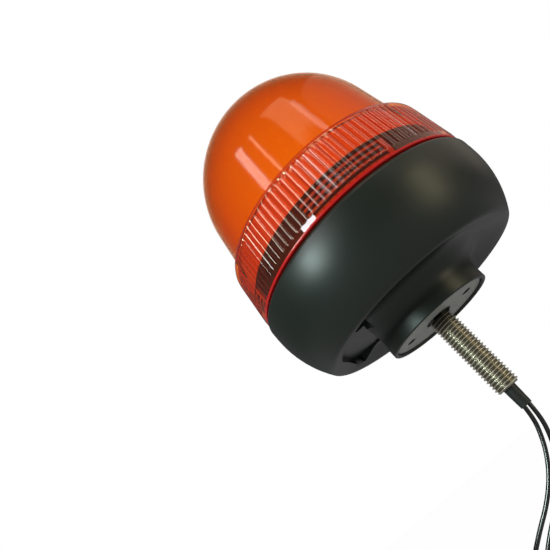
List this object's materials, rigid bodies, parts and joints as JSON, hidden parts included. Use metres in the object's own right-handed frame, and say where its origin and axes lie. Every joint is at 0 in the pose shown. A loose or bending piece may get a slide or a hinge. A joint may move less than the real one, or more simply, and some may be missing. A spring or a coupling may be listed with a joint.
{
  "type": "warning beacon",
  "caption": "Amber domed warning beacon on a round black base, with a hollow threaded mounting stud, flying leads and a lens that twists off.",
  "frame": {"origin": "centre of the mounting face, on the axis of the stud", "axes": "+Z along the axis towards the top of the dome; the stud and leads lie on the -Z side; +Y and -Y pass through the two plate screws"},
  "size_m": [0.151, 0.151, 0.3789],
  "materials": {
    "amber_lens": "smooth clear amber moulding",
    "black_rubber": "matte",
    "black_plastic": "satin black moulding",
    "plate_grey": "satin grey",
    "nickel_steel": "plated, turned thread",
    "black_screw": "black oxide",
    "heat_sink_alloy": "plain",
    "board_white": "white solder mask",
    "led_body": "yellow phosphor window",
    "zinc_screw": "zinc plated",
    "board_green": "green solder mask",
    "can_alloy": "printed can",
    "ferrite": "coated core",
    "chip_black": "moulded",
    "block_green": "moulded",
    "lead_black": "glossy insulation",
    "sleeve_black": "shrunk sleeve",
    "tinned_copper": "tinned strands"
  },
  "bodies": {
    "base": {"lens_seal": "black_rubber", "base_shell": "black_plastic", "foot_plate": "plate_grey", "stud": "nickel_steel", "plate_screws": "black_screw", "stud_gasket": "black_rubber", "heat_sink": "heat_sink_alloy", "led_board": "board_white", "leds": "led_body", "led_board_screws": "zinc_screw", "driver_board": "board_green", "driver_screws": "zinc_screw", "capacitors": "can_alloy", "choke": "ferrite", "driver_chip": "chip_black", "diodes": "chip_black", "terminal_block": "block_green", "terminal_screws": "zinc_screw", "link_header": "chip_black", "link_wires": "lead_black", "lead_grommet": "black_rubber", "lead_sleeve": "sleeve_black", "lead_a_inner": "lead_black", "lead_b_inner": "lead_black", "lead_a": "lead_black", "lead_b": "lead_black", "lead_a_tip": "tinned_copper", "lead_b_tip": "tinned_copper"},
    "lens": {"lens": "amber_lens"}
  },
  "joints": [
    {"name": "lens_twist", "type": "hinge", "parent": "base", "child": "lens", "pos_m": [0, 0, 0.06], "axis": [0, 0, 1], "range_deg": [0, 45]}
  ]
}
